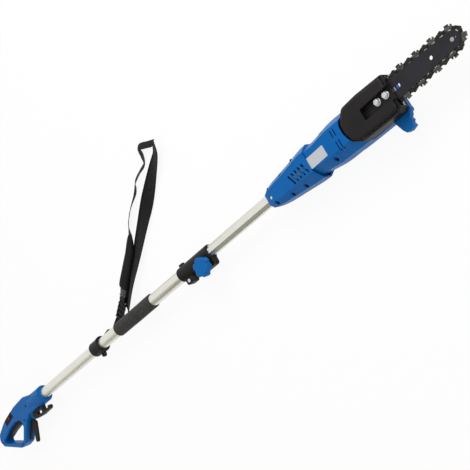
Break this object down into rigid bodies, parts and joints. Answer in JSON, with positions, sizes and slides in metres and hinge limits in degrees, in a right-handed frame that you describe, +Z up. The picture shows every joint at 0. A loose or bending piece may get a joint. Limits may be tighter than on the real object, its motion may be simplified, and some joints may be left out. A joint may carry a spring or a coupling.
{
  "type": "telescoping pole saw",
  "caption": "Electric pole saw: motor head with guide bar and saw chain on a telescoping tube, with clamp knob, foam grip, rear trigger handle and shoulder strap.",
  "frame": {"origin": "middle of the rest pad under the motor housing, on the floor that the saw lies on", "axes": "+X along the pole to the bar nose, +Y across towards the top of the saw in use, +Z up from the floor"},
  "size_m": [1.946, 0.4588, 0.0842],
  "materials": {
    "blue_abs": "blue moulded ABS with a fine satin grain",
    "red_abs": "dark red moulded ABS",
    "black_nylon": "black glass-filled nylon, finely grained",
    "soft_grip": "black soft rubber inlay",
    "foam": "dark closed-cell foam",
    "tube_aluminium": "satin drawn aluminium tube",
    "bar_paint": "black paint on spring steel",
    "chain_steel": "oiled chain steel, cutters bright",
    "gear_steel": "machined steel",
    "zinc_steel": "zinc-plated steel",
    "dark_steel": "black-oxide steel",
    "cast_aluminium": "die-cast aluminium alloy",
    "brass": "brass and copper",
    "tank_plastic": "translucent polyethylene",
    "label_film": "plain silver-grey label film, left bare",
    "webbing": "woven black polypropylene webbing",
    "pad_cloth": "black padded nylon cloth",
    "buckle_plastic": "dark grey acetal",
    "lead_rubber": "black PVC-sheathed curly lead"
  },
  "bodies": {
    "pole": {"outer_tube": "tube_aluminium", "foam_grip": "foam", "strap_collar": "black_nylon", "clamp_body": "black_nylon", "clamp_bolt": "zinc_steel", "clamp_screw": "zinc_steel", "handle_right_half": "blue_abs", "handle_left_half": "blue_abs", "grip_inlay": "soft_grip", "handle_screws": "dark_steel", "trigger_pin": "zinc_steel", "switch": "black_nylon", "hang_hook": "black_nylon", "mains_inlet": "black_nylon", "cord_clip": "black_nylon", "strap_belt": "webbing", "strap_webbing": "webbing", "strap_pad": "pad_cloth", "strap_tail": "webbing", "strap_hook": "dark_steel", "strap_adjuster": "buckle_plastic", "buckle_socket": "buckle_plastic", "buckle_plug": "buckle_plastic", "curly_lead": "lead_rubber"},
    "boom": {"inner_tube": "tube_aluminium", "inner_tube_bush": "black_nylon", "housing_right_half": "blue_abs", "housing_left_half": "blue_abs", "housing_screws": "dark_steel", "tube_screw": "dark_steel", "rating_label": "label_film", "motor_stator": "gear_steel", "brush_holders": "brass", "motor_bearings": "gear_steel", "drive_bearings": "gear_steel", "gear_plate": "cast_aluminium", "bar_studs": "zinc_steel", "bar_nuts": "zinc_steel", "sprocket_cover": "black_nylon", "oil_tank": "tank_plastic", "oil_pump": "black_nylon"},
    "rotor": {"motor_armature": "gear_steel", "commutator": "brass", "motor_fan": "black_nylon", "bevel_pinion": "gear_steel"},
    "drive": {"drive_shaft": "gear_steel", "bevel_gear": "gear_steel", "chain_sprocket": "gear_steel"},
    "bar": {"guide_bar": "bar_paint", "nose_rivet": "zinc_steel", "chain_drive_links": "chain_steel", "chain_tie_links": "chain_steel", "chain_right_cutters": "chain_steel", "chain_left_cutters": "chain_steel"},
    "nose": {"nose_wheel": "gear_steel"},
    "trigger": {"trigger": "black_nylon"},
    "lock": {"lock_button": "red_abs"},
    "knob": {"clamp_knob": "blue_abs"},
    "cap": {"oil_cap": "black_nylon"}
  },
  "joints": [
    {"name": "boom_slide", "type": "slide", "parent": "pole", "child": "boom", "axis": [1, 0, 0], "range_m": [-0.16, 0.56], "deforming": ["curly_lead"]},
    {"name": "clamp_knob_turn", "type": "hinge", "parent": "pole", "child": "knob", "pos_m": [-0.366, -0.025, 0.06], "axis": [0, 0, 1], "range_deg": [0, 720]},
    {"name": "trigger_pull", "type": "hinge", "parent": "pole", "child": "trigger", "pos_m": [-1.373, -0.01, 0.042], "axis": [0, 0, -1], "range_deg": [0, 6], "stiffness_Nm_per_rad": 1.5, "springref_deg": -5.73},
    {"name": "lock_press", "type": "slide", "parent": "pole", "child": "lock", "axis": [0, 0, -1], "range_m": [0, 0.003], "stiffness_N_per_m": 400, "springref_m": -0.003},
    {"name": "rotor_spin", "type": "hinge", "parent": "boom", "child": "rotor", "pos_m": [0, 0, 0.042], "axis": [1, 0, 0], "continuous": true},
    {"name": "drive_spin", "type": "hinge", "parent": "boom", "child": "drive", "pos_m": [0.1755, 0, 0.042], "axis": [0, 0, 1], "continuous": true},
    {"name": "bar_tension", "type": "slide", "parent": "boom", "child": "bar", "axis": [1, 0, 0], "range_m": [-0.004, 0]},
    {"name": "nose_spin", "type": "hinge", "parent": "bar", "child": "nose", "pos_m": [0.41796, 0, 0.064], "axis": [0, 0, 1], "continuous": true},
    {"name": "oil_cap_turn", "type": "hinge", "parent": "boom", "child": "cap", "pos_m": [0.222, 0, 0.01], "axis": [0, 0, 1], "range_deg": [0, 360]}
  ],
  "couplings": [
    {"joint": "drive_spin", "follows": "rotor_spin", "ratio": -0.33333},
    {"joint": "nose_spin", "follows": "rotor_spin", "ratio": -0.28571}
  ]
}
